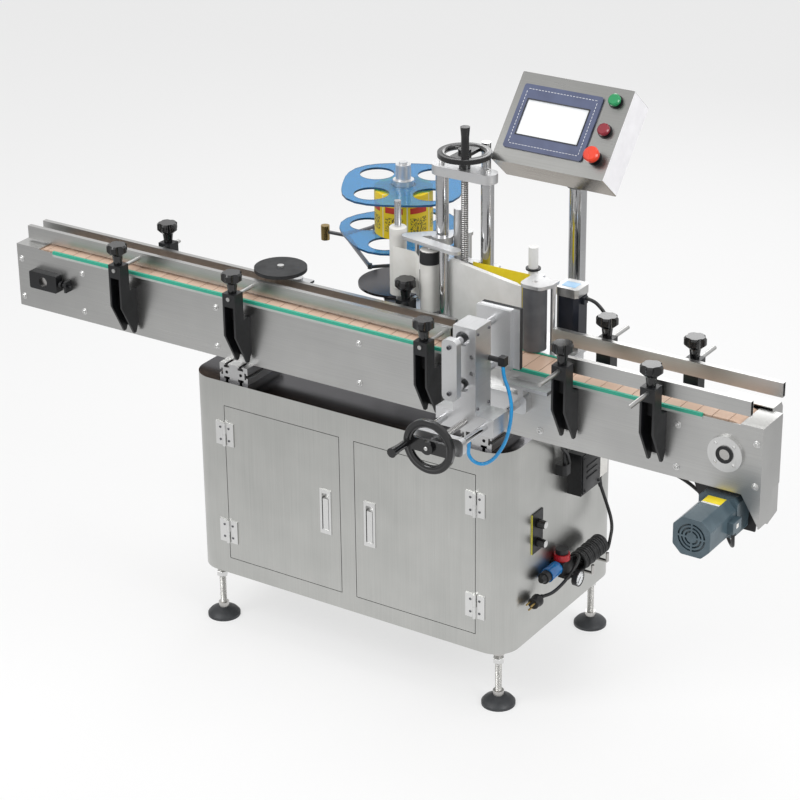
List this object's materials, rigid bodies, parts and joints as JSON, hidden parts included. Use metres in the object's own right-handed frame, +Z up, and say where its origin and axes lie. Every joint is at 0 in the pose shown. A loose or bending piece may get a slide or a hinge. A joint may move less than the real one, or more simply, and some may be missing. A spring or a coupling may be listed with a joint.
{
  "type": "bottle labelling machine",
  "caption": "Upright labelling machine for round bottles: a slat chain conveyor with side rails on a steel cabinet, a label reel head, a wrap roller press and a tilted control box.",
  "frame": {"origin": "on the floor, under the middle of the machine's box without its loose cords", "axes": "+X along the conveyor towards its gearmotor, +Y away from the operator, +Z up"},
  "size_m": [2.006, 0.885, 1.3815],
  "materials": {
    "sheet_steel": "brushed",
    "frame_steel": "satin",
    "slat_plastic": "matt",
    "green_strip": "smooth",
    "black_plastic": "fine grain",
    "black_rubber": "matt",
    "bright_chrome": "polished",
    "white_metal": "anodised",
    "blue_disc": "clear tinted",
    "label_yellow": "satin print",
    "white_plastic": "smooth",
    "web_paper": "paper",
    "motor_paint": "satin",
    "motor_grey": "satin",
    "brass": "turned",
    "green_button": "smooth",
    "red_button": "smooth",
    "orange_button": "smooth",
    "hose_blue": "smooth"
  },
  "bodies": {
    "machine": {"cabinet_shell": "sheet_steel", "foot_pads": "black_rubber", "foot_stems": "bright_chrome", "risers": "white_metal", "conveyor_frame": "frame_steel", "wear_strips": "green_strip", "end_covers": "frame_steel", "slat_chain": "slat_plastic", "shaft_bearings": "black_plastic", "rail_brackets": "black_plastic", "gearmotor": "motor_grey", "motor_mount": "frame_steel", "press_slideway": "white_metal", "roller_stand": "frame_steel", "stepper_motor": "motor_paint", "separator_drive": "frame_steel", "upright_posts": "bright_chrome", "air_regulator": "black_plastic", "side_fittings": "black_plastic", "machine_cables": "black_rubber", "power_cord": "black_rubber", "cord_coil": "black_rubber", "plug": "black_rubber"},
    "left_door": {"left_door": "sheet_steel"},
    "right_door": {"right_door": "sheet_steel"},
    "drive_shaft": {"drive_shaft": "frame_steel"},
    "idler_shaft": {"idler_shaft": "frame_steel"},
    "infeed_front_rail": {"infeed_front_rail": "frame_steel"},
    "infeed_rear_rail": {"infeed_rear_rail": "frame_steel"},
    "outfeed_front_rail": {"outfeed_front_rail": "frame_steel"},
    "outfeed_rear_rail": {"outfeed_rear_rail": "frame_steel"},
    "press_carriage": {"press_carriage": "white_metal", "air_hose": "hose_blue"},
    "press_plate": {"press_plate": "white_metal"},
    "press_handwheel": {"press_handwheel": "black_plastic"},
    "label_head": {"head_carriage": "white_metal", "label_web": "web_paper"},
    "head_handwheel": {"head_handwheel": "black_plastic"},
    "reel": {"reel_discs": "blue_disc", "label_roll": "label_yellow"},
    "guide_roller": {"guide_roller": "white_plastic"},
    "band_roller": {"band_roller": "white_plastic"},
    "dancer_arm": {"dancer_arm": "brass"},
    "rubber_roller": {"rubber_roller": "black_rubber"},
    "separating_wheel": {"separating_wheel": "black_rubber"},
    "control_box": {"control_box": "sheet_steel"},
    "start_button": {"start_button": "green_button"},
    "stop_button": {"stop_button": "red_button"},
    "emergency_button": {"emergency_button": "orange_button"},
    "speed_knob_upper": {"speed_knob_upper": "black_plastic"},
    "speed_knob_lower": {"speed_knob_lower": "black_plastic"},
    "clamp_knob_1": {"clamp_knob_1": "black_plastic"},
    "clamp_knob_2": {"clamp_knob_2": "black_plastic"},
    "clamp_knob_3": {"clamp_knob_3": "black_plastic"},
    "clamp_knob_4": {"clamp_knob_4": "black_plastic"},
    "clamp_knob_5": {"clamp_knob_5": "black_plastic"},
    "clamp_knob_6": {"clamp_knob_6": "black_plastic"},
    "clamp_knob_7": {"clamp_knob_7": "black_plastic"},
    "clamp_knob_8": {"clamp_knob_8": "black_plastic"},
    "clamp_knob_9": {"clamp_knob_9": "black_plastic"}
  },
  "joints": [
    {"name": "left_door_hinge", "type": "hinge", "parent": "machine", "child": "left_door", "pos_m": [-0.36075, -0.114, 0.3955], "axis": [0, 0, 1], "range_deg": [-110, 0]},
    {"name": "right_door_hinge", "type": "hinge", "parent": "machine", "child": "right_door", "pos_m": [0.33175, -0.114, 0.3955], "axis": [0, 0, 1], "range_deg": [0, 110]},
    {"name": "drive_shaft_spin", "type": "hinge", "parent": "machine", "child": "drive_shaft", "pos_m": [0.921, -0.0285, 0.789], "axis": [0, 1, 0], "continuous": true},
    {"name": "idler_shaft_spin", "type": "hinge", "parent": "machine", "child": "idler_shaft", "pos_m": [-0.908, -0.0285, 0.789], "axis": [0, 1, 0], "continuous": true},
    {"name": "infeed_front_rail_slide", "type": "slide", "parent": "machine", "child": "infeed_front_rail", "axis": [0, 1, 0], "range_m": [-0.05, 0.02]},
    {"name": "infeed_rear_rail_slide", "type": "slide", "parent": "machine", "child": "infeed_rear_rail", "axis": [0, 1, 0], "range_m": [-0.03, 0]},
    {"name": "outfeed_front_rail_slide", "type": "slide", "parent": "machine", "child": "outfeed_front_rail", "axis": [0, 1, 0], "range_m": [-0.008, 0.05]},
    {"name": "outfeed_rear_rail_slide", "type": "slide", "parent": "machine", "child": "outfeed_rear_rail", "axis": [0, 1, 0], "range_m": [-0.05, 0]},
    {"name": "clamp_knob_1_turn", "type": "hinge", "parent": "machine", "child": "clamp_knob_1", "pos_m": [-0.651, -0.1165, 0.897], "axis": [0, 0, 1], "range_deg": [-180, 180]},
    {"name": "clamp_knob_2_turn", "type": "hinge", "parent": "machine", "child": "clamp_knob_2", "pos_m": [-0.317, -0.1165, 0.897], "axis": [0, 0, 1], "range_deg": [-180, 180]},
    {"name": "clamp_knob_3_turn", "type": "hinge", "parent": "machine", "child": "clamp_knob_3", "pos_m": [0.203, -0.1165, 0.897], "axis": [0, 0, 1], "range_deg": [-180, 180]},
    {"name": "clamp_knob_4_turn", "type": "hinge", "parent": "machine", "child": "clamp_knob_4", "pos_m": [0.551, -0.1165, 0.921], "axis": [0, 0, 1], "range_deg": [-180, 180]},
    {"name": "clamp_knob_5_turn", "type": "hinge", "parent": "machine", "child": "clamp_knob_5", "pos_m": [0.763, -0.1165, 0.921], "axis": [0, 0, 1], "range_deg": [-180, 180]},
    {"name": "clamp_knob_6_turn", "type": "hinge", "parent": "machine", "child": "clamp_knob_6", "pos_m": [-0.638, 0.0595, 0.897], "axis": [0, 0, 1], "range_deg": [-180, 180]},
    {"name": "clamp_knob_7_turn", "type": "hinge", "parent": "machine", "child": "clamp_knob_7", "pos_m": [0.042, 0.0595, 0.897], "axis": [0, 0, 1], "range_deg": [-180, 180]},
    {"name": "clamp_knob_8_turn", "type": "hinge", "parent": "machine", "child": "clamp_knob_8", "pos_m": [0.562, 0.0595, 0.921], "axis": [0, 0, 1], "range_deg": [-180, 180]},
    {"name": "clamp_knob_9_turn", "type": "hinge", "parent": "machine", "child": "clamp_knob_9", "pos_m": [0.774, 0.0595, 0.921], "axis": [0, 0, 1], "range_deg": [-180, 180]},
    {"name": "press_handwheel_turn", "type": "hinge", "parent": "machine", "child": "press_handwheel", "pos_m": [0.38, -0.3745, 0.79], "axis": [0, 1, 0], "range_deg": [-2160, 3600]},
    {"name": "press_carriage_slide", "type": "slide", "parent": "machine", "child": "press_carriage", "axis": [0, 1, 0], "range_m": [-0.05, 0.03]},
    {"name": "press_plate_slide", "type": "slide", "parent": "press_carriage", "child": "press_plate", "axis": [0, 1, 0], "range_m": [0, 0.035]},
    {"name": "head_handwheel_turn", "type": "hinge", "parent": "machine", "child": "head_handwheel", "pos_m": [0.1495, 0.1405, 1.24], "axis": [0, 0, 1], "range_deg": [-5400, 360]},
    {"name": "label_head_lift", "type": "slide", "parent": "machine", "child": "label_head", "axis": [0, 0, 1], "range_m": [-0.005, 0.075]},
    {"name": "reel_spin", "type": "hinge", "parent": "label_head", "child": "reel", "pos_m": [-0.107, 0.2828, 1], "axis": [0, 0, 1], "continuous": true},
    {"name": "guide_roller_spin", "type": "hinge", "parent": "label_head", "child": "guide_roller", "pos_m": [-0.017, 0.1205, 0.95], "axis": [0, 0, 1], "continuous": true},
    {"name": "band_roller_spin", "type": "hinge", "parent": "label_head", "child": "band_roller", "pos_m": [0.087, 0.0925, 0.95], "axis": [0, 0, 1], "continuous": true},
    {"name": "dancer_arm_swing", "type": "hinge", "parent": "label_head", "child": "dancer_arm", "pos_m": [-0.058, 0.1898, 0.914], "axis": [0, 0, 1], "range_deg": [-12, 15], "stiffness_Nm_per_rad": 0.6},
    {"name": "rubber_roller_spin", "type": "hinge", "parent": "machine", "child": "rubber_roller", "pos_m": [0.397, 0.0305, 0.94], "axis": [0, 0, 1], "continuous": true},
    {"name": "separating_wheel_spin", "type": "hinge", "parent": "machine", "child": "separating_wheel", "pos_m": [-0.286, 0.0315, 0.91], "axis": [0, 0, 1], "continuous": true},
    {"name": "control_box_swivel", "type": "hinge", "parent": "machine", "child": "control_box", "pos_m": [0.347, 0.3055, 1.175], "axis": [0, 0, 1], "range_deg": [-30, 4]},
    {"name": "start_button_press", "type": "slide", "parent": "control_box", "child": "start_button", "axis": [0, 0.757, -0.6534], "range_m": [0, 0.004], "stiffness_N_per_m": 400, "springref_m": -0.002},
    {"name": "stop_button_press", "type": "slide", "parent": "control_box", "child": "stop_button", "axis": [0, 0.757, -0.6534], "range_m": [0, 0.004], "stiffness_N_per_m": 400, "springref_m": -0.002},
    {"name": "emergency_button_press", "type": "slide", "parent": "control_box", "child": "emergency_button", "axis": [0, 0.757, -0.6534], "range_m": [0, 0.004], "stiffness_N_per_m": 400, "springref_m": -0.002},
    {"name": "speed_knob_upper_turn", "type": "hinge", "parent": "machine", "child": "speed_knob_upper", "pos_m": [0.411, 0.0255, 0.441], "axis": [1, 0, 0], "range_deg": [-135, 135]},
    {"name": "speed_knob_lower_turn", "type": "hinge", "parent": "machine", "child": "speed_knob_lower", "pos_m": [0.411, 0.0255, 0.393], "axis": [1, 0, 0], "range_deg": [-135, 135]}
  ],
  "couplings": [
    {"joint": "idler_shaft_spin", "follows": "drive_shaft_spin", "ratio": 1},
    {"joint": "press_handwheel_turn", "follows": "press_carriage_slide", "rad_per_m": -1256.6},
    {"joint": "head_handwheel_turn", "follows": "label_head_lift", "rad_per_m": -1256.6}
  ]
}
